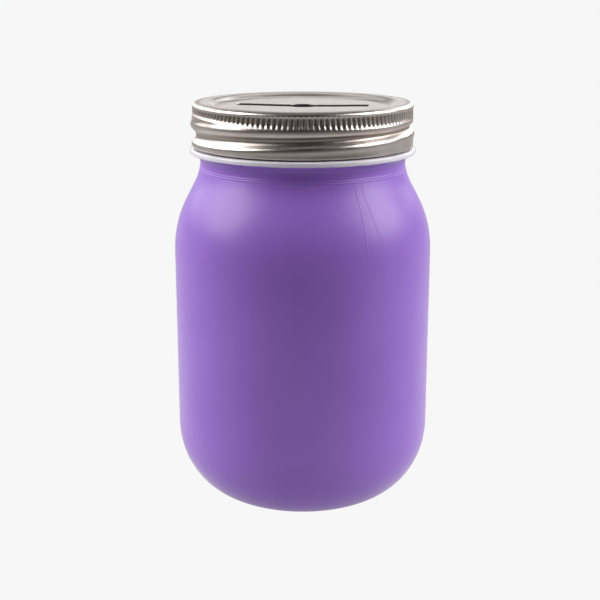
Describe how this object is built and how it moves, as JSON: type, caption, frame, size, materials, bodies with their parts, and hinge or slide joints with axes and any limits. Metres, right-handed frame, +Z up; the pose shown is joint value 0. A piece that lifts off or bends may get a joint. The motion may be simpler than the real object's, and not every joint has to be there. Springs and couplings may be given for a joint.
{
  "type": "coin bank jar",
  "caption": "Round glass coin bank jar with a lacquered body, a bead under the neck finish and a steel screw lid with a coin slot.",
  "frame": {"origin": "centre of the jar's base, on the surface it stands on", "axes": "+Z up along the jar's axis, +X along the coin slot, -Y towards the front"},
  "size_m": [0.0864, 0.0864, 0.1348],
  "materials": {
    "lacquered_glass": "satin purple lacquer outside, bare pale glass above the neck",
    "lid_steel": "satin tinned steel with a fine grain",
    "sealing_compound": "soft matte"
  },
  "bodies": {
    "jar": {"glass_jar": "lacquered_glass"},
    "lid_carrier": {"lid_gasket": "sealing_compound"},
    "lid": {"screw_lid": "lid_steel"}
  },
  "joints": [
    {"name": "lid_turn", "type": "hinge", "parent": "lid_carrier", "child": "lid", "pos_m": [0, 0, 0.127], "axis": [0, 0, 1], "range_deg": [0, 1080]},
    {"name": "lid_rise", "type": "slide", "parent": "jar", "child": "lid_carrier", "axis": [0, 0, 1], "range_m": [0, 0.01905]}
  ],
  "couplings": [
    {"joint": "lid_turn", "follows": "lid_rise", "rad_per_m": 989.47}
  ]
}
